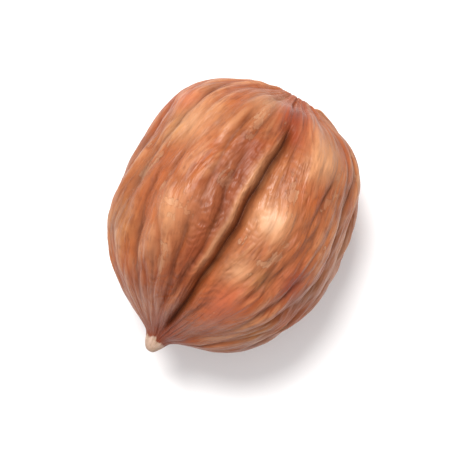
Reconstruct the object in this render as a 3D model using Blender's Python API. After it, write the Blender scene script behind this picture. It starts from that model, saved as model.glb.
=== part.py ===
"""A shelled hazelnut kernel, lying on its side with its furrow upwards.

The kernel grew as one piece, so it is one solid: two seed leaves pressed together under one thin
brown skin. The long axis runs along X, with the pointed tip at -X and the blunt base at +X, and the
furrow runs along the top. The kernel rests on a small flat spot below its centre of mass, and the
origin is the middle of that spot.

The solid starts as a sphere whose poles become the tip and the base. Each of its points is then
moved to the kernel's own surface: a turned outline, made uneven round its girth, with the furrow,
the creases, the lumps and the folds of the skin pressed into it or raised from it by formulas.
"""

import math

import bmesh
import bpy
from mathutils import Vector, noise

MM = 0.001

# Driving dimensions
LENGTH = 15.8 * MM
WIDTH = 12.9 * MM
HEIGHT_SHARE = 0.975
AXIS_HEIGHT = 5.92 * MM

# Outline from the tip to the base: share of the length, and share of the half width
OUTLINE = (
    (0.000, 0.000),
    (0.003, 0.034),
    (0.022, 0.068),
    (0.056, 0.102),
    (0.080, 0.182),
    (0.116, 0.345),
    (0.166, 0.545),
    (0.222, 0.710),
    (0.309, 0.862),
    (0.408, 0.952),
    (0.506, 0.996),
    (0.605, 0.996),
    (0.704, 0.962),
    (0.803, 0.890),
    (0.874, 0.782),
    (0.931, 0.625),
    (0.970, 0.430),
    (0.989, 0.255),
    (0.996, 0.120),
    (0.993, 0.000),
)
WIDEST = 0.562
OUTLINE_STEPS = 16

# How the tip end bends aside and down from the long axis
TIP_ASIDE = 0.35 * MM
TIP_DROP = 0.30 * MM
BEND_START = 4.0 * MM

# Uneven girth: waves round the kernel, share of the radius, its change along the kernel, and phase
GIRTH_WAVES = (
    (2, 0.014, 0.00, -0.9),
    (3, 0.016, 0.005, 0.7),
    (4, 0.008, -0.02, 1.9),
    (5, 0.009, 0.02, -0.4),
)
GIRTH_TWIST = 0.6

# Mesh: rings from pole to pole, meridians round the girth, and how closely both crowd together
RINGS = 56
MERIDIANS = 104
TIP_CROWDING = 1.12
FURROW_CROWDING = 0.52

# Middle of the resting spot, measured from the widest ring on the axis, and its soft edge
BALANCE_X = 0.05 * MM
BALANCE_Y = -0.12 * MM
SPOT_EDGE = 0.08 * MM

# Course of the furrow round the long axis: angle at the widest ring, turn per length, and its waver
FURROW_TURN = -0.085
FURROW_SLANT = -6.0
FURROW_WAVER = ((0.013, 0.90 * MM), (0.007, 0.37 * MM))

# Furrow: a wide valley with a narrow slit along its floor, each as start, end, fade, depth and width
VALLEY = (-8.2 * MM, 7.4 * MM, 3.2 * MM, 0.95 * MM, 2.00 * MM)
SLITS = (
    (-7.5 * MM, 4.9 * MM, 1.4 * MM, 0.55 * MM, 0.22 * MM),
    (-7.8 * MM, 7.0 * MM, 1.2 * MM, 0.26 * MM, 0.34 * MM),
)
SLIT_SHARPNESS = 1.5

# Lips beside the slit: distance from it, height and width
LIPS = (
    (0.62 * MM, 0.15 * MM, 0.24 * MM),
    (-0.60 * MM, 0.07 * MM, 0.34 * MM),
)

# Creases along the kernel: angle from the furrow in degrees, start, end, depth and half width in mm
CREASES = (
    (12.6, -6.6, 3.6, 0.30, 0.30),
    (20.5, -6.0, -0.6, 0.17, 0.26),
    (24.0, -0.8, 5.6, 0.20, 0.28),
    (33.0, -6.8, -3.2, 0.16, 0.28),
    (46.0, -7.2, 0.6, 0.25, 0.40),
    (60.0, -2.6, 6.6, 0.30, 0.44),
    (80.0, -7.2, 3.8, 0.38, 0.50),
    (101.0, -4.4, 6.8, 0.42, 0.50),
    (124.0, -7.4, 3.4, 0.48, 0.56),
    (146.0, -5.0, 6.8, 0.48, 0.56),
    (166.0, -7.4, -1.4, 0.42, 0.54),
    (-13.0, -7.0, -3.8, 0.16, 0.26),
    (-25.0, -5.0, -0.6, 0.20, 0.30),
    (-36.0, 0.2, 4.6, 0.22, 0.32),
    (-46.0, -7.2, -0.4, 0.26, 0.40),
    (-63.0, -3.2, 6.6, 0.36, 0.46),
    (-74.0, -7.4, -2.4, 0.30, 0.42),
    (-88.0, -5.6, 4.2, 0.44, 0.52),
    (-108.0, -4.4, 6.8, 0.44, 0.50),
    (-121.0, -7.4, 0.6, 0.42, 0.52),
    (-138.0, -4.8, 6.6, 0.50, 0.56),
    (-160.0, -7.2, 6.8, 0.42, 0.54),
)
CREASE_SHARPNESS = 1.4
CREASE_FADE = 1.6 * MM
CREASE_WAVER = 0.30 * MM
CREASE_WAVE = 1.7 * MM
CREASE_LIP = 0.34
CREASE_LIP_WIDTH = 2.3

# Lumps and, where the height is below 0, hollows: distance from the widest ring in mm, angle from
# the furrow in degrees, height and size in mm
LUMPS = (
    (0.5, -15.5, 0.20, 1.05),
    (-4.6, -21.0, 0.14, 1.10),
    (4.2, -27.0, 0.15, 1.25),
    (-1.2, 33.0, 0.22, 2.20),
    (2.9, 49.0, 0.16, 1.40),
    (5.4, 27.0, 0.12, 0.90),
    (4.6, 0.0, -0.16, 0.50),
    (-2.4, -33.0, -0.12, 0.60),
    (2.2, -74.0, -0.34, 2.10),
    (-3.2, 96.0, -0.30, 2.00),
    (-1.8, -118.0, 0.24, 1.70),
    (3.4, 122.0, 0.22, 1.60),
    (1.5, 86.0, -0.36, 2.30),
    (-5.7, -82.0, 0.50, 1.80),
    (-7.1, -82.0, 1.05, 1.15),
)

# Folds and wrinkles of the skin, and the slow swells below them
FOLD_HEIGHT = 0.30 * MM
FOLD_LENGTH = 7.0 * MM
FOLD_SPACING = 2.2 * MM
FOLD_SEED = 3.0
WRINKLE_HEIGHT = 0.19 * MM
WRINKLE_LENGTH = 3.0 * MM
WRINKLE_SPACING = 1.0 * MM
WRINKLE_SEED = 17.0
SWELL_HEIGHT = 0.20 * MM
SWELL_SIZE = 5.0 * MM
SWELL_SEED = 5.0
DRIFT_TURN = 0.18
DRIFT_SEED = 31.0
PLAIN_SHARE = 0.55
ROUGH_SHARE = 0.9
ROUGH_SEED = 57.0
RIDGE_GAIN = 2.4
CALM_SHARE = 0.6
CALM_WIDTH = 0.7 * MM
REST_CALM = 0.8
REST_SIZE = 2.3 * MM
POLE_CALM = 0.30

# The blunt base end: where it starts, its lumps and folds, and the round dent in its middle with a rim
BASE_FLAT = 0.35
BASE_EDGE = 0.85
BASE_LUMP = 0.20 * MM
BASE_LUMP_SIZE = 1.5 * MM
BASE_FOLDS = 0.4
BASE_SEED = 11.0
BASE_SINK = 0.12 * MM
DENT_DEPTH = 0.30 * MM
DENT_SIZE = 0.85 * MM
DENT_RIM = 0.10 * MM
DENT_RIM_AT = 1.35 * MM

# Skin
SKIN_COLOUR = (0.48, 0.17, 0.08, 1.0)
SKIN_ROUGHNESS = 0.5


def rise(value, start, end):
    """0 up to start, 1 from end on, and a smooth slope between."""
    share = min(1.0, max(0.0, (value - start) / (end - start)))
    return share * share * (3.0 - 2.0 * share)


def stretch(value, start, end, fade):
    """1 between start and end, fading to 0 at both."""
    return rise(value, start, start + fade) * (1.0 - rise(value, end - fade, end))


def bump(value, width):
    """1 at 0, falling away on both sides like a bell of that half width."""
    return math.exp(-((value / width) ** 2))


def apart(turn, other):
    """The angle from one turn to another, the short way round."""
    return (turn - other + math.pi) % math.tau - math.pi


def smooth_outline():
    """The outline's points joined by a smooth curve, as (distance from the tip, radius, length so far)."""
    points = [Vector((share * LENGTH, wide * WIDTH / 2)) for share, wide in OUTLINE]
    before = Vector((points[1].x, -points[1].y))
    after = Vector((points[-2].x, -points[-2].y))
    points = [before, *points, after]
    curve = []
    for a, b, c, d in zip(points, points[1:], points[2:], points[3:]):
        for step in range(OUTLINE_STEPS):
            t = step / OUTLINE_STEPS
            curve.append(
                0.5
                * (
                    2 * b
                    + (c - a) * t
                    + (2 * a - 5 * b + 4 * c - d) * t**2
                    + (3 * b - a - 3 * c + d) * t**3
                )
            )
    curve.append(points[-2])
    travelled = [0.0]
    for start, end in zip(curve, curve[1:]):
        travelled.append(travelled[-1] + (end - start).length)
    return [(point.x, point.y, length) for point, length in zip(curve, travelled)]


def at_share(curve, share):
    """Distance from the tip and radius, at a share of the curve's length."""
    wanted = share * curve[-1][2]
    for start, end in zip(curve, curve[1:]):
        if end[2] >= wanted:
            part = (wanted - start[2]) / (end[2] - start[2])
            return (
                start[0] + part * (end[0] - start[0]),
                start[1] + part * (end[1] - start[1]),
            )
    return curve[-1][:2]


def furrow_angle(x):
    """How far the furrow wanders from the top of the kernel, in radians about the long axis."""
    waver = sum(size * math.sin(x / wave) for size, wave in FURROW_WAVER)
    return FURROW_TURN + FURROW_SLANT * x + waver


def furrow(x, across):
    """Height of the skin in and beside the furrow: below 0 in the valley and the slit."""
    start, end, fade, depth, width = VALLEY
    height = -depth * stretch(x, start, end, fade) * bump(across, width)
    for start, end, fade, depth, width in SLITS:
        sides = (abs(across) / width) ** SLIT_SHARPNESS
        height -= depth * stretch(x, start, end, fade) * math.exp(-sides)
    start, end, fade = SLITS[0][:3]
    for offset, lip, width in LIPS:
        height += lip * stretch(x, start, end, fade) * bump(across - offset, width)
    return height


def creases(x, turn, radius):
    """Height of the skin in and beside the creases: below 0 in a crease, above 0 on its lips."""
    height = 0.0
    for degrees, start, end, depth, width in CREASES:
        middle = math.radians(degrees)
        along = stretch(x, start * MM, end * MM, CREASE_FADE)
        waver = CREASE_WAVER * math.sin(x / CREASE_WAVE + degrees)
        across = radius * apart(turn, middle) - waver
        groove = math.exp(-((abs(across) / (width * MM)) ** CREASE_SHARPNESS))
        lip = CREASE_LIP * bump(across, CREASE_LIP_WIDTH * width * MM)
        height -= depth * MM * along * (groove - lip)
    return height


def lumps(x, turn, radius):
    """Height of the lumps and hollows of the kernel's body."""
    height = 0.0
    for along, degrees, rising, size in LUMPS:
        across = radius * apart(turn, math.radians(degrees))
        height += rising * MM * bump(x - along * MM, size * MM) * bump(across, size * MM)
    return height


def ridges(x, angle, length, spacing, seed):
    """Rounded ridges along the kernel with sharp creases between them: 0 in a crease, about 1 on a ridge."""
    ring = WIDTH / 2 / spacing
    where = Vector((x / length + seed, ring * math.cos(angle), ring * math.sin(angle)))
    return min(1.0, RIDGE_GAIN * abs(noise.noise(where, noise_basis="PERLIN_ORIGINAL")))


def swell(x, angle, seed):
    """Slow rise and fall of the surface, from -1 to 1."""
    ring = WIDTH / 2 / SWELL_SIZE
    where = Vector((x / SWELL_SIZE + seed, ring * math.cos(angle), ring * math.sin(angle)))
    return noise.noise(where, noise_basis="PERLIN_ORIGINAL")


def girth(x, angle):
    """How much fuller or flatter the kernel is at this angle than a round one, as a share of its radius."""
    lean = x / LENGTH
    return sum(
        (share + change * lean) * math.cos(waves * angle + phase + GIRTH_TWIST * lean)
        for waves, share, change, phase in GIRTH_WAVES
    )


def folded(x, angle):
    """Height of the folds and the wrinkles that run along the kernel."""
    drift = angle + DRIFT_TURN * swell(x, angle, DRIFT_SEED)
    folds = ridges(x, drift, FOLD_LENGTH, FOLD_SPACING, FOLD_SEED) - 0.5
    wrinkles = ridges(x, drift, WRINKLE_LENGTH, WRINKLE_SPACING, WRINKLE_SEED) - 0.5
    return FOLD_HEIGHT * folds + WRINKLE_HEIGHT * wrinkles


def away_from_pole(radius):
    """0 at the tip and at the middle of the base, 1 where the kernel is wide."""
    return rise(radius / (WIDTH / 2), 0.0, POLE_CALM)


def relief(x, turn, angle, radius):
    """Height of the skin over the kernel's plain body."""
    across = radius * turn
    uneven = PLAIN_SHARE + ROUGH_SHARE * abs(swell(x, angle, ROUGH_SEED))
    calm = 1.0 - CALM_SHARE * bump(across, CALM_WIDTH)
    height = folded(x, angle) * uneven * calm
    height += SWELL_HEIGHT * swell(x, angle, SWELL_SEED)
    height += creases(x, turn, radius) + lumps(x, turn, radius)
    height *= away_from_pole(radius)
    below = radius * apart(turn, math.pi)
    height *= 1.0 - REST_CALM * bump(x, REST_SIZE) * bump(below, REST_SIZE)
    return height + furrow(x, across)


def base_relief(x, y, z, angle, radius):
    """How far the skin of the blunt base end stands out: lumps, folds, and a dent with a rim."""
    on_base = (1.0 - rise(radius / (WIDTH / 2), BASE_FLAT, BASE_EDGE)) * rise(x, 0.0, WIDTH / 3)
    where = Vector((y / BASE_LUMP_SIZE + BASE_SEED, z / BASE_LUMP_SIZE, 0.0))
    height = BASE_LUMP * noise.noise(where, noise_basis="PERLIN_ORIGINAL")
    height += DENT_RIM * bump(radius - DENT_RIM_AT, DENT_SIZE / 2) - DENT_DEPTH * bump(radius, DENT_SIZE)
    height += BASE_FOLDS * folded(x, angle) * away_from_pole(radius)
    return on_base * (height - BASE_SINK)


def on_floor(z):
    """Presses what lies below the floor flat onto it, with a short soft edge."""
    if z >= SPOT_EDGE:
        return z
    return max(0.0, z + SPOT_EDGE) ** 2 / (4 * SPOT_EDGE)


def kernel_point(curve, share, turn):
    """Point of the kernel's skin, at a share of the outline from tip to base and a turn round it."""
    along, radius = at_share(curve, share**TIP_CROWDING)
    x = along - WIDEST * LENGTH
    turn -= FURROW_CROWDING * math.sin(turn)
    angle = turn + furrow_angle(x) * (1.0 + math.cos(turn)) / 2
    reach = radius * (1.0 + girth(x, angle)) + relief(x, turn, angle, radius)
    bend = rise(-x, BEND_START, WIDEST * LENGTH)
    y = reach * math.sin(angle) + TIP_ASIDE * bend
    z = reach * math.cos(angle) * HEIGHT_SHARE - TIP_DROP * bend
    x += base_relief(x, y, z, angle, radius)
    return Vector((x - BALANCE_X, y - BALANCE_Y, on_floor(z + AXIS_HEIGHT)))


def skin_material():
    """The thin, satin, brown skin."""
    material = bpy.data.materials.new("kernel_skin")
    material.use_nodes = True
    shader = material.node_tree.nodes["Principled BSDF"]
    shader.inputs["Base Color"].default_value = SKIN_COLOUR
    shader.inputs["Roughness"].default_value = SKIN_ROUGHNESS
    shader.inputs["Metallic"].default_value = 0.0
    return material


def make_kernel(collection):
    """Moves each point of a sphere to its place on the kernel."""
    curve = smooth_outline()
    shape = bmesh.new()
    bmesh.ops.create_uvsphere(shape, u_segments=MERIDIANS, v_segments=RINGS, radius=1.0)
    for vertex in shape.verts:
        share = math.acos(max(-1.0, min(1.0, -vertex.co.z))) / math.pi
        turn = -math.atan2(vertex.co.y, vertex.co.x)
        vertex.co = kernel_point(curve, share, turn)
    mesh = bpy.data.meshes.new("kernel")
    shape.to_mesh(mesh)
    shape.free()
    mesh.shade_smooth()
    mesh.materials.append(skin_material())
    kernel = bpy.data.objects.new("kernel", mesh)
    collection.objects.link(kernel)
    return kernel


def main():
    """Clears the scene and makes the kernel in a collection of its own."""
    for old in list(bpy.data.objects):
        bpy.data.objects.remove(old)
    collection = bpy.data.collections.new("hazelnut_kernel")
    bpy.context.scene.collection.children.link(collection)
    make_kernel(collection)


main()
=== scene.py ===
# %% [markdown]
# # A shelled hazelnut kernel
#
# A hazelnut that is out of its shell is one grown body: two seed leaves pressed together inside a thin,
# papery, brown skin. It has a small pointed tip, a blunt base and long folds that run from one to the
# other. Here it lies on its side on a white table, with its deepest furrow facing up.
#
# The measured solid gives the place, the size and the main shape. This script makes the fine surface
# that goes in its place: the same form with many more points, so that the small wrinkles, the puckers
# and the veins are real shape. A skin material made from nodes adds the colour, the fibres and the
# flakes.

# %% Load the measured solid
import math

import bmesh
import bpy
import numpy as np
from mathutils import Euler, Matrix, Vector, noise


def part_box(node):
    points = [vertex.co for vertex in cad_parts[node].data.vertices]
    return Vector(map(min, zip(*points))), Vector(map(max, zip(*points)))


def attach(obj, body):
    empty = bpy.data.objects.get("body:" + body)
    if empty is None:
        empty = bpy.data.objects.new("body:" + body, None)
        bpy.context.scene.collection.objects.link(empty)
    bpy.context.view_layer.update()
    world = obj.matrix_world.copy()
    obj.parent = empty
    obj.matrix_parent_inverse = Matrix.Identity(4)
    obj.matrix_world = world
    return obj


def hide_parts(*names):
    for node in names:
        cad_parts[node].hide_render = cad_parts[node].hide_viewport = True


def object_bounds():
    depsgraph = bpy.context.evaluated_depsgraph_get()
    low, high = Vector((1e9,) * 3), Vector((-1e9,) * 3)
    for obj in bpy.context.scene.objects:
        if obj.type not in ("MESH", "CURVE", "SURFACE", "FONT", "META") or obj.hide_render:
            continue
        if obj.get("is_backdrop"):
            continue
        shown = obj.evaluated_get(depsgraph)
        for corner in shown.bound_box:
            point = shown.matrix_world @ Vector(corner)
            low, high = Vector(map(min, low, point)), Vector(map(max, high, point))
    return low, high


MM_PER_M = 1000

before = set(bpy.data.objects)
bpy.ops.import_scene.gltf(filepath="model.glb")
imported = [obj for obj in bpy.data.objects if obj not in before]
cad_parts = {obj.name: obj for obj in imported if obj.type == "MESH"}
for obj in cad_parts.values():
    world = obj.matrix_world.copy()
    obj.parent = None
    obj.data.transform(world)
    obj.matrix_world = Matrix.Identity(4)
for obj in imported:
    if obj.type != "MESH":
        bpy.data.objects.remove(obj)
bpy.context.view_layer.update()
low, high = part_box("kernel")
print("solid kernel, mm:", [round((b - a) * MM_PER_M, 2) for a, b in zip(low, high)])

# %% [markdown]
# ## The turned outline
#
# Seen from the side, a kernel looks like a shape turned on a lathe: a nub, steep shoulders, a full belly
# and a boxy base. It could be modelled by pulling a coarse cage about by hand. A curve of a few measured
# points is easier to compare with the real thing, so the outline is kept as numbers: how far along the
# kernel a point is, as a share of its length, and how wide the kernel is there, as a share of its width.
# A smooth curve joins them. All lengths from here on are in millimetres, and they become metres when the
# points are placed.

# %% The outline as a smooth curve
LENGTH = 15.8
WIDTH = 12.9
WIDEST = 0.562
OUTLINE = (
    (0.000, 0.000),
    (0.003, 0.034),
    (0.022, 0.068),
    (0.056, 0.102),
    (0.080, 0.182),
    (0.116, 0.345),
    (0.166, 0.545),
    (0.222, 0.710),
    (0.309, 0.862),
    (0.408, 0.952),
    (0.506, 0.996),
    (0.605, 0.996),
    (0.704, 0.962),
    (0.803, 0.890),
    (0.874, 0.782),
    (0.931, 0.625),
    (0.970, 0.430),
    (0.989, 0.255),
    (0.996, 0.120),
    (0.993, 0.000),
)
OUTLINE_STEPS = 16


def smooth_outline():
    """Distance from the tip, radius and length so far, at points along a smooth curve through OUTLINE."""
    points = [Vector((share * LENGTH, wide * WIDTH / 2)) for share, wide in OUTLINE]
    before = Vector((points[1].x, -points[1].y))
    after = Vector((points[-2].x, -points[-2].y))
    points = [before, *points, after]
    curve = []
    for a, b, c, d in zip(points, points[1:], points[2:], points[3:]):
        for step in range(OUTLINE_STEPS):
            t = step / OUTLINE_STEPS
            # The Catmull-Rom curve from b to c, which goes through every point
            bend = (2 * a - 5 * b + 4 * c - d) * t**2 + (3 * b - a - 3 * c + d) * t**3
            curve.append(0.5 * (2 * b + (c - a) * t + bend))
    curve.append(points[-2])
    curve = np.array(curve)
    steps = np.linalg.norm(np.diff(curve, axis=0), axis=1)
    return curve[:, 0], curve[:, 1], np.concatenate([[0.0], np.cumsum(steps)])


outline_along, outline_radius, outline_run = smooth_outline()
print("outline:", len(outline_run), "points,", round(outline_run[-1], 2), "mm from tip to base")

# %% [markdown]
# ## A sphere whose poles become the tip and the base
#
# The skin's wrinkles run from pole to pole, and so do the meridians of a UV sphere. That makes a sphere
# the right mesh to start from: its edges already follow the wrinkles, and they run together at the tip
# and the base as the wrinkles do. The rings are crowded towards the tip and the meridians beside the
# furrow, where most detail is.

# %% Make the sphere and find where each point goes
RINGS, MERIDIANS = ((248, 400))
TIP_CROWDING = 1.12
FURROW_CROWDING = 0.52

shape = bmesh.new()
bmesh.ops.create_uvsphere(shape, u_segments=MERIDIANS, v_segments=RINGS, radius=1.0)
kernel_mesh = bpy.data.meshes.new("kernel_skin")
shape.to_mesh(kernel_mesh)
shape.free()

sphere = np.empty(len(kernel_mesh.vertices) * 3)
kernel_mesh.vertices.foreach_get("co", sphere)
sphere = sphere.reshape(-1, 3)
share = np.arccos(np.clip(-sphere[:, 2], -1.0, 1.0)) / math.pi
turn = -np.arctan2(sphere[:, 1], sphere[:, 0])
turn = turn - FURROW_CROWDING * np.sin(turn)
run = share**TIP_CROWDING * outline_run[-1]
radius = np.interp(run, outline_run, outline_radius)
from_tip = np.interp(run, outline_run, outline_along)
x = from_tip - WIDEST * LENGTH
print("points:", len(x), "faces:", len(kernel_mesh.polygons))

# %% [markdown]
# ## Small helpers
#
# Four curves do most of the modelling. A rise goes smoothly from 0 to 1, a stretch is 1 over part of the
# kernel's length, a bell is 1 in one place and fades away from it, and a groove is a bell with a sharper
# floor. Each works on all points at once. Perlin noise gives what is uneven. Most of it is read on a
# ring round the long axis, so that it has no seam and runs together at both ends.


# %% Curves that shape the skin
def rise(value, start, end):
    """0 up to start, 1 from end on, and a smooth slope between."""
    part = np.clip((value - start) / (end - start), 0.0, 1.0)
    return part * part * (3.0 - 2.0 * part)


def stretch(value, start, end, fade):
    """1 between start and end, fading to 0 at both."""
    return rise(value, start, start + fade) * (1.0 - rise(value, end - fade, end))


def bell(value, width):
    """1 at 0, falling away on both sides."""
    return np.exp(-((value / width) ** 2))


def groove(value, width, sharpness):
    """Like a bell, with a narrower floor."""
    return np.exp(-((np.abs(value) / width) ** sharpness))


def apart(value, other):
    """The angle from other to value, the short way round."""
    return (value - other + math.pi) % math.tau - math.pi


print("a rise at 0, 1/4, 1/2 and 1:", rise(np.array([0.0, 0.25, 0.5, 1.0]), 0.0, 1.0))


# %% Noise at the points
def noise_at(first, second, third):
    """Perlin noise, from -1 to 1, at all points."""
    places = np.stack([first, second, third], axis=1).tolist()
    return np.array([noise.noise(place, noise_basis="PERLIN_ORIGINAL") for place in places])


def flat_noise(first, second, layer=0.0):
    """Noise on a plane; each layer is another pattern."""
    return noise_at(first, second, np.full_like(first, layer))


def ring_noise(around, length, ring, seed=0.0):
    """Noise on a ring round the axis: length is along the kernel, and a larger ring gives a finer pattern."""
    return noise_at(x / length + seed, ring * np.cos(around), ring * np.sin(around))


print("noise: read at", len(x), "points each time")

# %% [markdown]
# ## The furrow
#
# The kernel's deepest furrow lies where the two seed leaves meet. It is a wide valley with a narrow,
# dark slit along its floor, and the skin swells into a lip on each side of the slit. It could be cut
# with a Boolean, but skin has no cut edges: it is pressed in, so the furrow is a height that is taken
# off the surface, as a bell across the valley and a much narrower one for the slit. It doesn't run quite
# straight: the points of the sphere are turned round the axis a little, most at the furrow.

# %% Course of the furrow
FURROW_TURN = -0.085
FURROW_SLANT = -0.006
FURROW_WAVER = ((0.013, 0.90), (0.007, 0.37))

furrow_turn = FURROW_TURN + FURROW_SLANT * x
for size, wave in FURROW_WAVER:
    furrow_turn += size * np.sin(x / wave)
angle = turn + furrow_turn * (1.0 + np.cos(turn)) / 2
across = radius * turn
print("furrow: turned by", np.degrees([furrow_turn.min(), furrow_turn.max()]).round(1), "degrees")

# %% Valley, slit and lips
# Valley and slits: start, end, fade, depth and width. Lips: distance from the slit, height and width.
VALLEY = (-8.2, 7.4, 3.2, 0.95, 2.00)
SLITS = ((-7.6, 5.4, 1.3, 0.50, 0.20), (-7.8, 7.0, 1.2, 0.24, 0.36))
SLIT_SHARPNESS = 1.5
LIPS = ((0.62, 0.15, 0.24), (-0.60, 0.07, 0.34))

start, end, fade, depth, width = VALLEY
furrow = -depth * stretch(x, start, end, fade) * bell(across, width)
slit = np.zeros_like(x)
for start, end, fade, depth, width in SLITS:
    slit += depth * stretch(x, start, end, fade) * groove(across, width, SLIT_SHARPNESS)
furrow -= slit
start, end, fade = SLITS[0][:3]
for offset, height, width in LIPS:
    furrow += height * stretch(x, start, end, fade) * bell(across - offset, width)
print("furrow: deepest", round(-furrow.min(), 2), "mm below the body")

# %% [markdown]
# ## Creases, lumps and hollows
#
# As the kernel dries, the skin folds into long creases. They could be carved with sculpting brushes. As
# rows of numbers they can be moved one by one, when the picture is held beside the real thing. Each is
# given by its angle from the furrow, where it starts and ends along the kernel, its depth and its width.
# The skin beside a crease stands up a little. Lumps and hollows are broad bells: they catch the light
# or lose it over a whole patch. Each has its distance from the widest ring, its angle from the furrow,
# its height and its size.

# %% Long creases
CREASES = (
    (12.6, -6.6, 3.6, 0.30, 0.30),
    (20.5, -6.0, -0.6, 0.17, 0.26),
    (24.0, -0.8, 5.6, 0.20, 0.28),
    (33.0, -6.8, -3.2, 0.16, 0.28),
    (46.0, -7.2, 0.6, 0.25, 0.40),
    (60.0, -2.6, 6.6, 0.30, 0.44),
    (80.0, -7.2, 3.8, 0.38, 0.50),
    (101.0, -4.4, 6.8, 0.42, 0.50),
    (124.0, -7.4, 3.4, 0.48, 0.56),
    (146.0, -5.0, 6.8, 0.48, 0.56),
    (166.0, -7.4, -1.4, 0.42, 0.54),
    (-13.0, -7.0, -3.8, 0.16, 0.26),
    (-25.0, -5.0, -0.6, 0.20, 0.30),
    (-36.0, 0.2, 4.6, 0.22, 0.32),
    (-46.0, -7.2, -0.4, 0.26, 0.40),
    (-63.0, -3.2, 6.6, 0.36, 0.46),
    (-74.0, -7.4, -2.4, 0.30, 0.42),
    (-88.0, -5.6, 4.2, 0.44, 0.52),
    (-108.0, -4.4, 6.8, 0.44, 0.50),
    (-121.0, -7.4, 0.6, 0.42, 0.52),
    (-138.0, -4.8, 6.6, 0.50, 0.56),
    (-160.0, -7.2, 6.8, 0.42, 0.54),
)
CREASE_SHARPNESS = 1.4
CREASE_FADE = 1.6
CREASE_WAVER = 0.30
CREASE_WAVE = 1.7
CREASE_LIP = 0.34
CREASE_LIP_WIDTH = 2.3
CREASE_FLOOR_WIDTH = 0.45

creases = np.zeros_like(x)
crease_floor = np.zeros_like(x)
for degrees, start, end, depth, width in CREASES:
    along = stretch(x, start, end, CREASE_FADE)
    waver = CREASE_WAVER * np.sin(x / CREASE_WAVE + degrees)
    beside = radius * apart(turn, math.radians(degrees)) - waver
    floor = groove(beside, width, CREASE_SHARPNESS)
    creases -= depth * along * (floor - CREASE_LIP * bell(beside, CREASE_LIP_WIDTH * width))
    deepest = along * groove(beside, CREASE_FLOOR_WIDTH * width, CREASE_SHARPNESS)
    crease_floor = np.maximum(crease_floor, deepest)
print("creases:", len(CREASES), "- from", round(creases.min(), 2), "to", round(creases.max(), 2), "mm")

# %% Lumps and hollows
LUMPS = (
    (0.5, -15.5, 0.20, 1.05),
    (-4.6, -21.0, 0.14, 1.10),
    (4.2, -27.0, 0.15, 1.25),
    (-1.2, 33.0, 0.22, 2.20),
    (2.9, 49.0, 0.16, 1.40),
    (5.4, 27.0, 0.12, 0.90),
    (4.6, 0.0, -0.16, 0.50),
    (-2.4, -33.0, -0.12, 0.60),
    (2.2, -74.0, -0.34, 2.10),
    (-3.2, 96.0, -0.30, 2.00),
    (-1.8, -118.0, 0.24, 1.70),
    (3.4, 122.0, 0.22, 1.60),
    (1.5, 86.0, -0.36, 2.30),
    (-5.7, -82.0, 0.50, 1.80),
    (-7.1, -82.0, 1.05, 1.15),
)


def spot(along, degrees, size):
    """A round bell on the skin, at a distance from the widest ring and an angle from the furrow."""
    beside = radius * apart(turn, math.radians(degrees))
    return bell(x - along, size) * bell(beside, size)


lumps = sum(height * spot(along, degrees, size) for along, degrees, height, size in LUMPS)
print("lumps: from", round(lumps.min(), 2), "to", round(lumps.max(), 2), "mm")

# %% [markdown]
# ## Folds and wrinkles
#
# Between the large creases the skin is never even. Noise that is stretched along the kernel gives it
# folds: the absolute value of Perlin noise is a field of round ridges with sharp valleys between them,
# which is how a dried skin folds. A Displace modifier with a texture could do it too, but here the same
# heights are needed again for the colour. Three sizes of it are laid over each other, each with its
# length, its spacing and a seed. A slow swell makes them drift aside and come and go.

# %% Three sizes of wrinkle
FOLD = (7.0, 2.2, 3.0)
WRINKLE = (3.0, 1.0, 17.0)
FINE_WRINKLE = (1.5, 0.40, 43.0)
RIDGE_GAIN = 2.4
RIDGE_MIDDLE = 0.5
SWELL_SIZE = 5.0
DRIFT_TURN = 0.18
DRIFT_SEED = 31.0
FINE_DRIFT_TURN = 0.05
FINE_DRIFT_LENGTH = 1.3
FINE_DRIFT_RING = 6.0


def ridges(around, length, spacing, seed):
    """Round ridges along the kernel with sharp valleys between, level with 0 halfway up."""
    value = ring_noise(around, length, WIDTH / 2 / spacing, seed)
    return np.minimum(1.0, RIDGE_GAIN * np.abs(value)) - RIDGE_MIDDLE


def swell(seed):
    """Slow rise and fall over the kernel, from -1 to 1."""
    return ring_noise(angle, SWELL_SIZE, WIDTH / 2 / SWELL_SIZE, seed)


drift = angle + DRIFT_TURN * swell(DRIFT_SEED)
folds = ridges(drift, *FOLD)
wrinkles = ridges(drift, *WRINKLE)
fine_drift = drift + FINE_DRIFT_TURN * ring_noise(angle, FINE_DRIFT_LENGTH, FINE_DRIFT_RING)
fine_wrinkles = ridges(fine_drift, *FINE_WRINKLE)
print("wrinkles: about", FOLD[1], WRINKLE[1], "and", FINE_WRINKLE[1], "mm apart")

# %% How high they stand
FOLD_HEIGHT = 0.30
WRINKLE_HEIGHT = 0.19
FINE_HEIGHT = 0.052
SWELL_HEIGHT = 0.20
SWELL_SEED = 5.0
PLAIN_SHARE = 0.55
ROUGH_SHARE = 0.9
ROUGH_SEED = 57.0
CALM_SHARE = 0.6
CALM_WIDTH = 0.7

uneven = PLAIN_SHARE + ROUGH_SHARE * np.abs(swell(ROUGH_SEED))
calm = 1.0 - CALM_SHARE * bell(across, CALM_WIDTH)
folded = FOLD_HEIGHT * folds + WRINKLE_HEIGHT * wrinkles
skin_height = folded * uneven * calm + SWELL_HEIGHT * swell(SWELL_SEED) + creases + lumps
print("skin relief: from", round(skin_height.min(), 2), "to", round(skin_height.max(), 2), "mm")

# %% [markdown]
# ## Puckers and veins
#
# Beside the furrow the skin is gathered into short puckers that run slantwise across it, like cloth
# beside a seam. Elsewhere thin veins run from the base towards the tip and branch on the way. Both could
# be a bump in the material, but real shape also holds when the light is low. The puckers are a slanted
# wave that a noise breaks up. The veins are the thin lines where a stretched noise crosses 0, and they
# stand a little above the skin.

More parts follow.
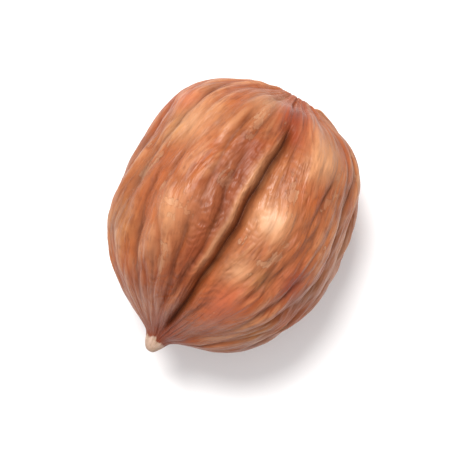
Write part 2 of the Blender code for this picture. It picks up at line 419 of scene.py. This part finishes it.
# %% Puckers beside the furrow
# Breaks: length, width, seed, layer and share. Zones: distance from the slit, width and share.
PUCKER_BREAKS = ((0.9, 1.1, 71.0, 0.0, 1.0), (0.35, 0.5, 13.0, 1.0, 0.6))
PUCKER_BREAK = 0.75
PUCKER_SPACING = 0.52
PUCKER_SLANT = 0.55
PUCKER_ZONES = ((1.45, 1.15, 1.0), (-0.95, 0.70, 0.75))
PUCKER_STRETCH = (-7.0, 5.5, 1.5)
PUCKERED = (-0.45, 0.25)
PUCKER_HEIGHT = 0.040

broken = np.zeros_like(x)
for length, width, seed, layer, amount in PUCKER_BREAKS:
    broken += amount * flat_noise(x / length + seed, across / width, layer)
pucker_wave = np.sin(math.tau * (x + PUCKER_SLANT * across + PUCKER_BREAK * broken) / PUCKER_SPACING)
pucker_zone = sum(amount * bell(across - middle, width) for middle, width, amount in PUCKER_ZONES)
pucker_zone *= stretch(x, *PUCKER_STRETCH) * rise(broken, *PUCKERED)
puckers = PUCKER_HEIGHT * pucker_wave * pucker_zone
print("puckers: up to", round(puckers.max(), 3), "mm")

# %% Veins
VEIN = (6.0, 1.5, 91.0)
VEIN_WIDTH = 0.055
VEINED = (0.55, 0.80)
VEIN_HEIGHT = 0.030

length, spacing, seed = VEIN
vein_noise = ring_noise(fine_drift, length, WIDTH / 2 / spacing, seed)
veins = bell(vein_noise, VEIN_WIDTH) * rise(uneven, *VEINED)
print("veins:", VEIN_HEIGHT, "mm high, on", round(100 * (veins > 0.5).mean(), 1), "% of the points")

# %% [markdown]
# ## Flaked skin and the bare tip
#
# The skin is brittle. It flakes off in thin bits and leaves a paler layer. A flake is a patch of noise,
# and only the material cuts its edge, because a real one is thinner than this mesh can show. At the tip,
# which rubs against everything, the skin is gone and the cream-coloured flesh shows, a step lower than
# the skin's ragged edge.

# %% Flakes and the bare tip
# Flakes and ragged edge: length along the kernel, ring, seed and share of each noise
FLAKE_SPACING = 1.1
FLAKES = ((2.2, WIDTH / 2 / FLAKE_SPACING, 113.0, 1.0), (0.5, 9.0, 0.0, 0.35))
RAGGED = ((0.5, 2.2, 7.0, 1.0), (0.16, 5.0, 3.0, 0.4))
FLAKE_START = 0.50
TIP_FRAY = 0.36
TIP_BARE = (0.66, 0.76)
TIP_STEP = 0.05

flake_noise = sum(amount * ring_noise(drift, length, ring, seed) for length, ring, seed, amount in FLAKES)
ragged = sum(amount * ring_noise(angle, length, ring, seed) for length, ring, seed, amount in RAGGED)
bare_tip = 1.0 - rise(from_tip + TIP_FRAY * ragged, *TIP_BARE)
print("flaked:", round(100 * (flake_noise > FLAKE_START).mean(), 1), "% of the points")

# %% [markdown]
# ## The kernel's body
#
# A kernel isn't quite round: a few slow waves round its girth make it fuller here and flatter there. A
# Lattice could push it out of round, but a wave is only one more term in the sum of heights. Each has
# its number of waves, its share of the radius, how that changes along the kernel, and where it starts.
# The tip end bends a little aside and down. The skin's relief fades out at both poles, where the
# meridians meet, and below, where the kernel rests.

# %% Add the heights up
POLE_CALM = 0.30
REST_CALM = 0.8
REST_SIZE = 2.3
GIRTH_WAVES = (
    (2, 0.014, 0.00, -0.9),
    (3, 0.016, 0.005, 0.7),
    (4, 0.008, -0.02, 1.9),
    (5, 0.009, 0.02, -0.4),
)
GIRTH_TWIST = 0.6

to_pole = rise(radius / (WIDTH / 2), 0.0, POLE_CALM)
to_rest = 1.0 - REST_CALM * bell(x, REST_SIZE) * bell(radius * apart(turn, math.pi), REST_SIZE)
fine_height = FINE_HEIGHT * fine_wrinkles * uneven + puckers + VEIN_HEIGHT * veins
relief = (skin_height + fine_height) * to_pole * to_rest + furrow - TIP_STEP * bare_tip * to_pole

lean = x / LENGTH
girth = np.zeros_like(x)
for waves, amount, change, phase in GIRTH_WAVES:
    girth += (amount + change * lean) * np.cos(waves * angle + phase + GIRTH_TWIST * lean)
reach = radius * (1.0 + girth) + relief
print("reach: up to", round(reach.max(), 2), "mm from the axis")

# %% Bend the tip end
HEIGHT_SHARE = 0.975
AXIS_HEIGHT = 5.92
TIP_ASIDE = 0.35
TIP_DROP = 0.30
BEND_START = 4.0

bend = rise(-x, BEND_START, WIDEST * LENGTH)
y = reach * np.sin(angle) + TIP_ASIDE * bend
z = reach * np.cos(angle) * HEIGHT_SHARE - TIP_DROP * bend + AXIS_HEIGHT
print("height:", round(z.max(), 2), "mm")

# %% [markdown]
# ## The base end
#
# The blunt base is where the kernel was joined to its shell. A smooth cap there would look like the end
# of a pill. So it gets lumps, the last of the folds, and a round dent with a soft rim in its middle. All
# of them push the skin along the axis, because the base faces that way.

# %% Lumps, folds and a dent
BASE_EDGE = (0.35, 0.85)
BASE_LUMP = 0.20
BASE_LUMP_SIZE = 1.5
BASE_SEED = 11.0
BASE_FOLDS = 0.4
BASE_SINK = 0.12
DENT_DEPTH = 0.30
DENT_SIZE = 0.85
DENT_RIM = 0.10
DENT_RIM_AT = 1.35

on_base = (1.0 - rise(radius / (WIDTH / 2), *BASE_EDGE)) * rise(x, 0.0, WIDTH / 3)
base_lumps = flat_noise(y / BASE_LUMP_SIZE + BASE_SEED, (z - AXIS_HEIGHT) / BASE_LUMP_SIZE)
dent = DENT_RIM * bell(radius - DENT_RIM_AT, DENT_SIZE / 2) - DENT_DEPTH * bell(radius, DENT_SIZE)
outward = on_base * (BASE_LUMP * base_lumps + dent + BASE_FOLDS * folded * to_pole - BASE_SINK)
print("base: from", round(outward.min(), 2), "to", round(outward.max(), 2), "mm")

# %% [markdown]
# ## The resting spot
#
# The kernel rests on a small flat spot, where its weight would otherwise stand on a point. A Boolean
# would cut the spot with a sharp rim. So what lies below the table is pressed flat onto it instead, with
# a short soft edge. The spot's middle is the origin.

# %% Press the spot flat and move the points
BALANCE_X = 0.05
BALANCE_Y = -0.12
SPOT_EDGE = 0.08

pressed = np.maximum(0.0, z + SPOT_EDGE) ** 2 / (4 * SPOT_EDGE)
on_table = np.where(z >= SPOT_EDGE, z, pressed)
places = np.stack([x + outward - BALANCE_X, y - BALANCE_Y, on_table], axis=1) / MM_PER_M
kernel_mesh.vertices.foreach_set("co", places.ravel())
kernel_mesh.update()
kernel_mesh.shade_smooth()
print("kernel, mm:", (MM_PER_M * (places.max(axis=0) - places.min(axis=0))).round(2))

# %% [markdown]
# ## Notes on the skin for the material
#
# The material has to know where the creases are, which way the fibres run and where the skin is gone.
# It could guess that from the mesh, but the heights above already say it exactly. They are stored on
# the points as named attributes, which the shader nodes read by name.
#
# A skin is never one colour. It is pale where it is rubbed and where a painted highlight lies, and in
# places it is redder, rosier or more ochre. Such patches are placed like the lumps: distance from the
# widest ring, angle from the furrow, size and amount. The raised lip beside the slit gets a painted
# highlight too. The colour is darker near the tip, and a band beside the furrow gets painted shade.

# %% Patches of other colours
PATCHES = {
    "blush": (
        (-2.0, -43.0, 1.15, 1.5),
        (-5.2, 27.0, 1.30, 0.55),
        (5.8, 3.0, 1.20, 1.4),
        (4.6, -6.0, 0.60, 0.8),
        (-0.4, -128.0, 1.60, 0.7),
        (2.8, 96.0, 1.50, 0.7),
        (-3.4, 138.0, 1.30, 0.8),
    ),
    # Partly worn skin, partly painted highlight where the light falls on the lobes and the base.
    "pale": (
        (2.8, 49.0, 1.20, 0.9),
        (0.3, -13.5, 1.05, 1.3),
        (-1.6, 31.0, 1.10, 0.5),
        (-2.7, -13.0, 0.85, 0.9),
        (4.4, -27.0, 1.05, 0.9),
        (5.6, 26.0, 0.80, 0.7),
        (0.6, -84.0, 1.60, 0.6),
        (-1.6, 112.0, 1.70, 0.6),
        (3.0, 168.0, 1.60, 0.6),
    ),
    "rose": (
        (-4.7, -20.0, 1.05, 1.0),
        (3.9, 66.0, 0.80, 0.6),
        (1.2, -152.0, 1.50, 0.8),
        (-2.4, 160.0, 1.20, 0.7),
    ),
    "ochre": (
        (2.4, 55.0, 1.00, 0.9),
        (-2.5, -25.0, 0.60, 0.8),
        (-5.4, -62.0, 0.90, 0.7),
        (5.2, -32.0, 0.70, 0.6),
        (-3.4, 64.0, 1.20, 0.6),
        (0.2, -142.0, 1.80, 0.8),
        (2.0, 140.0, 1.30, 0.6),
    ),
}
LIP_PALE = 0.75
LIP_PALE_WIDTH = 0.20
LIP_PALE_STRETCH = (-4.6, 4.0, 2.0)

marks = {}
for name, patches in PATCHES.items():
    marks[name] = sum(amount * spot(along, degrees, size) for along, degrees, size, amount in patches)
# Painted highlight: a pale line along the raised lip beside the slit.
marks["pale"] += LIP_PALE * bell(across - LIPS[0][0], LIP_PALE_WIDTH) * stretch(x, *LIP_PALE_STRETCH)
print("patches:", {name: len(patches) for name, patches in PATCHES.items()})

# %% Where the skin lies deep and where it stands up
# Shares of the folds, the wrinkles and the fine wrinkles. Crevices have two more, for the floors of
# the long creases and for the puckers.
CREVICE_SHARES = (0.55, 0.32, 0.14, 0.75, 0.30)
RAISED_SHARES = (0.5, 0.5, 0.4)
RAISED_MIDDLE = 0.5
FLOOR_GAIN = 2.6
FLOOR_START = 0.5
NO_FLAKES_AT = 0.2


def floor_of(height):
    """1 in the valleys between ridges, 0 on the ridges."""
    return np.clip(-FLOOR_GAIN * height - FLOOR_START, 0.0, 1.0)


floors = (
    floor_of(folds) * uneven,
    floor_of(wrinkles) * uneven,
    floor_of(fine_wrinkles),
    crease_floor,
    np.clip(-pucker_wave, 0.0, 1.0) * pucker_zone,
)
# Painted shade: the crevice mark darkens the colour in creases, wrinkle floors and pucker valleys.
crevice = sum(amount * floor for amount, floor in zip(CREVICE_SHARES, floors))
# Painted highlight, partly rubbed skin: raised skin on the ridges is made paler.
raised = sum(amount * height for amount, height in zip(RAISED_SHARES, (folds, wrinkles, fine_wrinkles)))
marks["crevice"] = np.clip(crevice, 0.0, 1.0) * to_pole
marks["raised"] = np.clip(RAISED_MIDDLE + raised, 0.0, 1.0)
# Painted shade: the slit mark darkens the colour along the slit's floor.
marks["slit"] = np.clip(slit / SLITS[0][3], 0.0, 1.0)
marks["veins"] = np.clip(veins, 0.0, 1.0) * to_pole
marks["flaking"] = flake_noise * to_pole * (1.0 - np.clip(slit / NO_FLAKES_AT, 0.0, 1.0))
print("crevices: on", round(100 * (marks["crevice"] > 0.5).mean(), 1), "% of the points")

# %% The tip, the band beside the furrow and the scar on the base
TIP_END = (0.04, 0.34)
TIP_END_FRAY = 0.10
NEAR_TIP = (1.1, 4.8)
NEAR_TIP_WIDTH = 1.3
BAND_AT = 1.45
BAND_WIDTH = 0.95
BAND_STRETCH = (-7.0, 5.2, 2.2)
SCAR = (0.75, 1.30)
SCAR_FRAY = 0.35
SCAR_FRAY_SIZE = 0.7

marks["bare"] = bare_tip
marks["tip_end"] = 1.0 - rise(from_tip + TIP_END_FRAY * ragged, *TIP_END)
marks["near_tip"] = (1.0 - rise(from_tip, *NEAR_TIP)) * (1.0 + bell(across, NEAR_TIP_WIDTH)) / 2
# Painted shade: a darker band on the flank of the furrow's valley that faces away from the light.
marks["band"] = bell(across - BAND_AT, BAND_WIDTH) * stretch(x, *BAND_STRETCH)
scar_edge = radius + SCAR_FRAY * flat_noise(y / SCAR_FRAY_SIZE, on_table / SCAR_FRAY_SIZE)
marks["scar"] = on_base * (1.0 - rise(scar_edge, *SCAR))
print("bare tip: on", int((bare_tip > 0.5).sum()), "points")

# %% Store the notes on the points
FIBRE_STRETCH = 5.0
FIBRE_RING = 0.5

for name, values in marks.items():
    kernel_mesh.attributes.new(name, "FLOAT", "POINT").data.foreach_set("value", values)

ring = WIDTH / 2 * np.where(x > 0, np.minimum(1.0, radius / (FIBRE_RING * WIDTH / 2)), 1.0)
fibre_way = np.stack([run / FIBRE_STRETCH, ring * np.cos(drift), ring * np.sin(drift)], axis=1)
fibres = kernel_mesh.attributes.new("fibre_way", "FLOAT_VECTOR", "POINT")
fibres.data.foreach_set("vector", fibre_way.ravel())
print("attributes:", [item.name for item in kernel_mesh.attributes if not item.name.startswith(".")])

# %% [markdown]
# ## Node helpers
#
# Shader trees are easier to read when a node is made, set and wired in one line. These helpers do no
# more than that.

# %% Helpers for shader nodes
# A Mix node has sockets for numbers, vectors and colours. These are its factor, its two colours and
# the mixed colour.
MIX_INPUTS = (0, 6, 7)
MIX_RESULT = 2


def wire(tree, socket, value):
    """Links a socket to another one, or sets it to a value."""
    if isinstance(value, bpy.types.NodeSocket):
        tree.links.new(value, socket)
    else:
        socket.default_value = value


def add(tree, kind, inputs=(), **settings):
    """Makes a node, sets its properties, and sets or wires its inputs."""
    node = tree.nodes.new(kind)
    for name, value in settings.items():
        setattr(node, name, value)
    for socket, value in dict(inputs).items():
        wire(tree, node.inputs[socket], value)
    return node


def blend(tree, factor, under, over):
    """Mixes two colours and gives back the result's socket."""
    node = add(tree, "ShaderNodeMix", zip(MIX_INPUTS, (factor, under, over)), data_type="RGBA")
    return node.outputs[MIX_RESULT]


def maths(tree, operation, first, second, clamp=False):
    """A Math node; gives back its result's socket."""
    node = add(tree, "ShaderNodeMath", {0: first, 1: second}, operation=operation, use_clamp=clamp)
    return node.outputs[0]


def spread(tree, value, low_in, high_in, low_out=0.0, high_out=1.0):
    """Maps a value from one range to another with a smooth slope."""
    node = add(tree, "ShaderNodeMapRange", {0: value, 1: low_in, 2: high_in, 3: low_out, 4: high_out})
    node.interpolation_type = "SMOOTHSTEP"
    return node.outputs[0]


def stored(tree, name, output="Fac"):
    """Reads one of the kernel's attributes."""
    node = add(tree, "ShaderNodeAttribute", attribute_name=name, attribute_type="GEOMETRY")
    return node.outputs[output]


print("helpers: wire, add, blend, maths, spread, stored")

# %% [markdown]
# ## Effects as node groups
#
# Two effects are used more than once. Fibres are fine streaks along the skin: noise that is read in the
# stored fibre direction, so it is long one way and short the other. Mottling is a soft blotchy noise.
# The skin uses both for colour and roughness, and the table uses the mottling. Both are made alike, as
# one coarse and one finer noise, so one function makes the two groups.

# %% Groups: fibres and mottling
COARSE_DETAIL = 3.0
FINE_DETAIL = 2.0
FIBRE_FINENESS = 3.1
FIBRE_LIMITS = ((0.34, 0.66), (0.38, 0.62))
MOTTLE_FINENESS = 6.0
MOTTLE_LIMITS = ((0.35, 0.65), (0.40, 0.66))


def two_noises(name, labels, fineness, limits):
    """A group that puts out a coarse noise and a finer one, each spread between its limits."""
    tree = bpy.data.node_groups.new(name, "ShaderNodeTree")
    tree.interface.new_socket(name="Vector", in_out="INPUT", socket_type="NodeSocketVector")
    tree.interface.new_socket(name="Scale", in_out="INPUT", socket_type="NodeSocketFloat")
    for label in labels:
        tree.interface.new_socket(name=label, in_out="OUTPUT", socket_type="NodeSocketFloat")
    given = tree.nodes.new("NodeGroupInput").outputs
    result = tree.nodes.new("NodeGroupOutput").inputs
    scales = (given["Scale"], maths(tree, "MULTIPLY", given["Scale"], fineness))
    for label, scale, detail, ends in zip(labels, scales, (COARSE_DETAIL, FINE_DETAIL), limits):
        field = add(tree, "ShaderNodeTexNoise", {"Vector": given["Vector"], "Scale": scale, "Detail": detail})
        tree.links.new(spread(tree, field.outputs["Fac"], *ends), result[label])
    print("group:", tree.name)
    return tree


def place(tree, group, vector, scale):
    """Puts a group into a tree and gives back its outputs."""
    return add(tree, "ShaderNodeGroup", {"Vector": vector, "Scale": scale}, node_tree=group).outputs


fibre_group = two_noises("skin_fibres", ("Streaks", "Threads"), FIBRE_FINENESS, FIBRE_LIMITS)
mottle_group = two_noises("mottling", ("Blotches", "Specks"), MOTTLE_FINENESS, MOTTLE_LIMITS)

# %% [markdown]
# ## The skin
#
# The skin is an orange tan that is paler on the ridges, partly from rubbing and partly as a painted
# highlight, and darker and redder in the creases and the slit, which is painted shade. It has ochre,
# reddish and rosy patches, pale patches that are partly worn skin and partly painted highlight, a band of
# painted shade beside the furrow, fine dark fibres, thin veins and a few paler flakes. The base has a dull
# scar, and bare cream flesh shows at the tip. Mixing it all into one formula would be hard to read and to
# change. So each colour is a layer with its own mask and strength, laid over the ones before it, from
# the first in the list to the last. The surface is satin: ridges are rubbed smooth, and creases, flakes
# and the scar are duller. Lengths in a material are in metres, like those of the scene.

# %% Colours of the skin
# The pale tans are partly painted highlight; the darkest brown is painted shade in creases and slit.
TAN = (0.370, 0.123, 0.042, 1.0)
ORANGE = (0.360, 0.085, 0.018, 1.0)
PALE_TAN = (0.590, 0.290, 0.140, 1.0)
WORN_TAN = (0.660, 0.370, 0.215, 1.0)
RED_BROWN = (0.185, 0.029, 0.007, 1.0)
BLUSH_RED = (0.285, 0.040, 0.012, 1.0)
OCHRE = (0.330, 0.160, 0.045, 1.0)
ROSE = (0.520, 0.125, 0.055, 1.0)
DARK_BROWN = (0.072, 0.017, 0.006, 1.0)
SCAR_BROWN = (0.205, 0.088, 0.040, 1.0)
FIBRE_BROWN = (0.155, 0.038, 0.012, 1.0)
UNDER_SKIN = (0.470, 0.260, 0.145, 1.0)
FLESH = (0.540, 0.372, 0.288, 1.0)
DRY_FLESH = (0.330, 0.190, 0.095, 1.0)

print("skin colours: from", DARK_BROWN[:3], "to", WORN_TAN[:3])

# %% Masks of the skin
FIBRE_SCALE = 2.4
MOTTLE_SCALE = 380.0
MARKS = ("ochre", "blush", "veins", "band", "near_tip", "pale", "rose", "crevice", "slit", "scar", "tip_end")
RAISED = (0.45, 0.95)
WORN = (0.75, 1.30)
SPECKLED = (0.55, 0.90)

skin = bpy.data.materials.new("hazelnut_skin")
skin.use_nodes = True
tree = skin.node_tree
shader = tree.nodes["Principled BSDF"]
fibre = place(tree, fibre_group, stored(tree, "fibre_way", "Vector"), FIBRE_SCALE)
mottle = place(tree, mottle_group, add(tree, "ShaderNodeTexCoord").outputs["Object"], MOTTLE_SCALE)

masks = {name: stored(tree, name) for name in MARKS}
masks["streaks"] = fibre["Streaks"]
masks["threads"] = fibre["Threads"]
masks["blotches"] = mottle["Blotches"]
masks["specks"] = mottle["Specks"]
masks["raised"] = spread(tree, stored(tree, "raised"), *RAISED)
# Painted highlight, partly worn skin: the whitest middles of the pale patches.
masks["wear_and_highlight"] = spread(tree, masks["pale"], *WORN)
masks["dark_threads"] = maths(tree, "MULTIPLY", masks["threads"], masks["specks"])
speckled = spread(tree, masks["specks"], 0.0, 1.0, *SPECKLED)
masks["speckled_scar"] = maths(tree, "MULTIPLY", masks["scar"], speckled)
print("masks:", len(masks))

# %% Edges of the flakes
FRAY_BY_THREADS = 0.09
FRAY_BY_SPECKS = 0.07
FLAKE_EDGE = 0.04
FLAKE_RIM = 0.06
PATCHY = (0.60, 0.25)

frayed = spread(tree, masks["threads"], 0.0, 1.0, -FRAY_BY_THREADS, FRAY_BY_THREADS)
frayed = maths(tree, "ADD", stored(tree, "flaking"), frayed)
frayed = maths(tree, "ADD", frayed, spread(tree, masks["specks"], 0.0, 1.0, -FRAY_BY_SPECKS, FRAY_BY_SPECKS))
masks["flaked"] = spread(tree, frayed, FLAKE_START, FLAKE_START + FLAKE_EDGE)
lifted = spread(tree, frayed, FLAKE_START - FLAKE_RIM, FLAKE_START)
masks["flake_rims"] = maths(tree, "SUBTRACT", lifted, masks["flaked"])
patchy = spread(tree, masks["streaks"], 0.0, 1.0, *PATCHY)
masks["under_skin"] = maths(tree, "MULTIPLY", masks["flaked"], patchy)
print("flakes: frayed by up to", FRAY_BY_THREADS + FRAY_BY_SPECKS)

# %% Layers of colour
# Each layer: its mask, its strength and its colour
# Ridges, pale patches and their whitest middles are partly painted highlight; band, crevices and slit are
# painted shade.
SKIN_LAYERS = (
    ("blotches", 1.00, ORANGE),
    ("raised", 0.45, PALE_TAN),
    ("ochre", 0.60, OCHRE),
    ("blush", 0.65, BLUSH_RED),
    ("streaks", 0.24, RED_BROWN),
    ("dark_threads", 0.45, FIBRE_BROWN),
    ("veins", 0.35, FIBRE_BROWN),
    ("flake_rims", 0.35, FIBRE_BROWN),
    ("under_skin", 1.00, UNDER_SKIN),
    ("band", 0.58, RED_BROWN),
    ("near_tip", 0.95, RED_BROWN),
    ("pale", 0.75, PALE_TAN),
    ("wear_and_highlight", 0.80, WORN_TAN),
    ("rose", 0.75, ROSE),
    ("crevice", 0.62, DARK_BROWN),
    ("slit", 0.60, DARK_BROWN),
    ("speckled_scar", 1.00, SCAR_BROWN),
)
FLESH_LAYERS = (
    ("specks", 0.55, DRY_FLESH),
    ("threads", 0.30, DRY_FLESH),
    ("tip_end", 0.30, SCAR_BROWN),
)


def layered(colour, layers):
    """Lays colours over the first one, each by its mask and strength."""
    for name, strength, over in layers:
        colour = blend(tree, maths(tree, "MULTIPLY", masks[name], strength), colour, over)
    return colour


colour = blend(tree, stored(tree, "bare"), layered(TAN, SKIN_LAYERS), layered(FLESH, FLESH_LAYERS))
tree.links.new(colour, shader.inputs["Base Color"])
print("colours: one below,", len(SKIN_LAYERS), "on the skin and", len(FLESH_LAYERS), "on the flesh")

# %% Gloss and fine relief
SMOOTH = 0.30
DULLER = (("crevice", 0.22), ("flaked", 0.12), ("scar", 0.25), ("streaks", 0.10), ("blotches", 0.10))
THREAD_BUMP = 0.6
BUMP_STRENGTH = 0.45
BUMP_HEIGHT = 0.00005
SPECULAR_LEVEL = 0.30

rough = SMOOTH
for name, amount in DULLER:
    rough = maths(tree, "ADD", maths(tree, "MULTIPLY", masks[name], amount), rough, clamp=True)
tree.links.new(rough, shader.inputs["Roughness"])

bumps = maths(tree, "MULTIPLY", masks["threads"], THREAD_BUMP)
bumps = maths(tree, "ADD", bumps, masks["streaks"])
bumps = maths(tree, "SUBTRACT", bumps, masks["flaked"])
bump = add(tree, "ShaderNodeBump", {"Height": bumps, "Strength": BUMP_STRENGTH, "Distance": BUMP_HEIGHT})
tree.links.new(bump.outputs["Normal"], shader.inputs["Normal"])
shader.inputs["Specular IOR Level"].default_value = SPECULAR_LEVEL
print("skin material:", len(tree.nodes), "nodes")

# %% [markdown]
# ## The finished kernel
#
# The fine surface takes the place of the measured solid, which stays hidden behind it. It rides on the
# kernel's one body, and it wears the skin material made above.

# %% Put the fine kernel in the solid's place
kernel_mesh.materials.append(skin)
kernel = bpy.data.objects.new("kernel_skin", kernel_mesh)
bpy.context.scene.collection.objects.link(kernel)
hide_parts("kernel")
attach(kernel, "root")
print("triangles:", sum(len(face.vertices) - 2 for face in kernel_mesh.polygons))

# %% [markdown]
# ## The table
#
# The kernel lies on a plain white table. A perfectly even white looks like paper in a drawing, so the
# table gets a very faint mottling.

# %% White table
TABLE_HALF = 0.6
WHITE = (0.90, 0.90, 0.90, 1.0)
WARM_WHITE = (0.92, 0.915, 0.915, 1.0)
TABLE_MOTTLE_SCALE = 60.0
TABLE_ROUGHNESS = 0.6
TABLE_SPECULAR_LEVEL = 0.2

table_mesh = bpy.data.meshes.new("table")
shape = bmesh.new()
bmesh.ops.create_grid(shape, x_segments=1, y_segments=1, size=TABLE_HALF)
shape.to_mesh(table_mesh)
shape.free()
white = bpy.data.materials.new("table_white")
white.use_nodes = True
tree = white.node_tree
shader = tree.nodes["Principled BSDF"]
position = add(tree, "ShaderNodeNewGeometry").outputs["Position"]
mottle = place(tree, mottle_group, position, TABLE_MOTTLE_SCALE)
tree.links.new(blend(tree, mottle["Blotches"], WHITE, WARM_WHITE), shader.inputs["Base Color"])
shader.inputs["Roughness"].default_value = TABLE_ROUGHNESS
shader.inputs["Specular IOR Level"].default_value = TABLE_SPECULAR_LEVEL
table_mesh.materials.append(white)
table = bpy.data.objects.new("table", table_mesh)
bpy.context.scene.collection.objects.link(table)
table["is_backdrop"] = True
print("table:", 2 * TABLE_HALF, "m square")

# %% [markdown]
# ## Camera and light
#
# The camera looks straight down, turned so that the kernel's tip points to the lower left. A short lens
# from close by would swell the middle of the kernel, so a long one looks from further away. The light is
# that of a window high up at the upper left of the picture. A sun lamp would cut a hard shadow. A round
# area light gives the soft one, and a pale world fills it. The world is brighter overhead than at the
# sides, as a room with a white ceiling is.

# %% Camera straight above
TIP_TO_BASE = math.radians(60.9)
CAMERA_OFFSET = Vector((0.0, 0.0002, 0.134))
LENS = 200.0
NEAREST = 0.001

middle = sum((Vector(corner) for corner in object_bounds()), Vector()) / 2
camera_data = bpy.data.cameras.new("camera")
camera_data.lens = LENS
camera_data.clip_start = NEAREST
camera = bpy.data.objects.new("camera", camera_data)
camera.location = middle + CAMERA_OFFSET
camera.rotation_euler = Euler((0.0, 0.0, -TIP_TO_BASE))
bpy.context.scene.collection.objects.link(camera)
bpy.context.scene.camera = camera
print("camera", round(camera.location.z * MM_PER_M), "mm above the table")

# %% Window
# The window's angle in the picture is counted counterclockwise from the right
WINDOW_ANGLE = 110.0
WINDOW_ELEVATION = 64.0
WINDOW_DISTANCE = 0.30
WINDOW_SIZE = 0.12
WINDOW_POWER = 1.06
WINDOW_COLOUR = (1.0, 0.985, 0.965)

heading = math.radians(WINDOW_ANGLE) - TIP_TO_BASE
climb = math.radians(WINDOW_ELEVATION)
way = Vector((math.cos(heading) * math.cos(climb), math.sin(heading) * math.cos(climb), math.sin(climb)))
window_data = bpy.data.lights.new("window", "AREA")
window_data.shape = "DISK"
window_data.size = WINDOW_SIZE
window_data.energy = WINDOW_POWER
window_data.color = WINDOW_COLOUR
window = bpy.data.objects.new("window", window_data)
window.location = middle + WINDOW_DISTANCE * way
window.rotation_mode = "QUATERNION"
window.rotation_quaternion = way.to_track_quat("Z", "Y")
bpy.context.scene.collection.objects.link(window)
print("window:", WINDOW_SIZE, "m across,", WINDOW_DISTANCE, "m away")

# %% Soft light of the room
SKY_COLOUR = (1.0, 0.99, 1.0, 1.0)
SKY_STRENGTHS = (0.24, 1.04)

world = bpy.data.worlds.new("soft_room")
world.use_nodes = True
sky = world.node_tree
background = sky.nodes["Background"]
background.inputs["Color"].default_value = SKY_COLOUR
upward = add(sky, "ShaderNodeSeparateXYZ", {"Vector": add(sky, "ShaderNodeTexCoord").outputs["Generated"]})
strength = spread(sky, upward.outputs["Z"], 0.0, 1.0, *SKY_STRENGTHS)
sky.links.new(strength, background.inputs["Strength"])
bpy.context.scene.world = world
bpy.context.scene.view_settings.view_transform = "Standard"
print("room light: from", SKY_STRENGTHS[0], "at the sides to", SKY_STRENGTHS[1], "overhead")
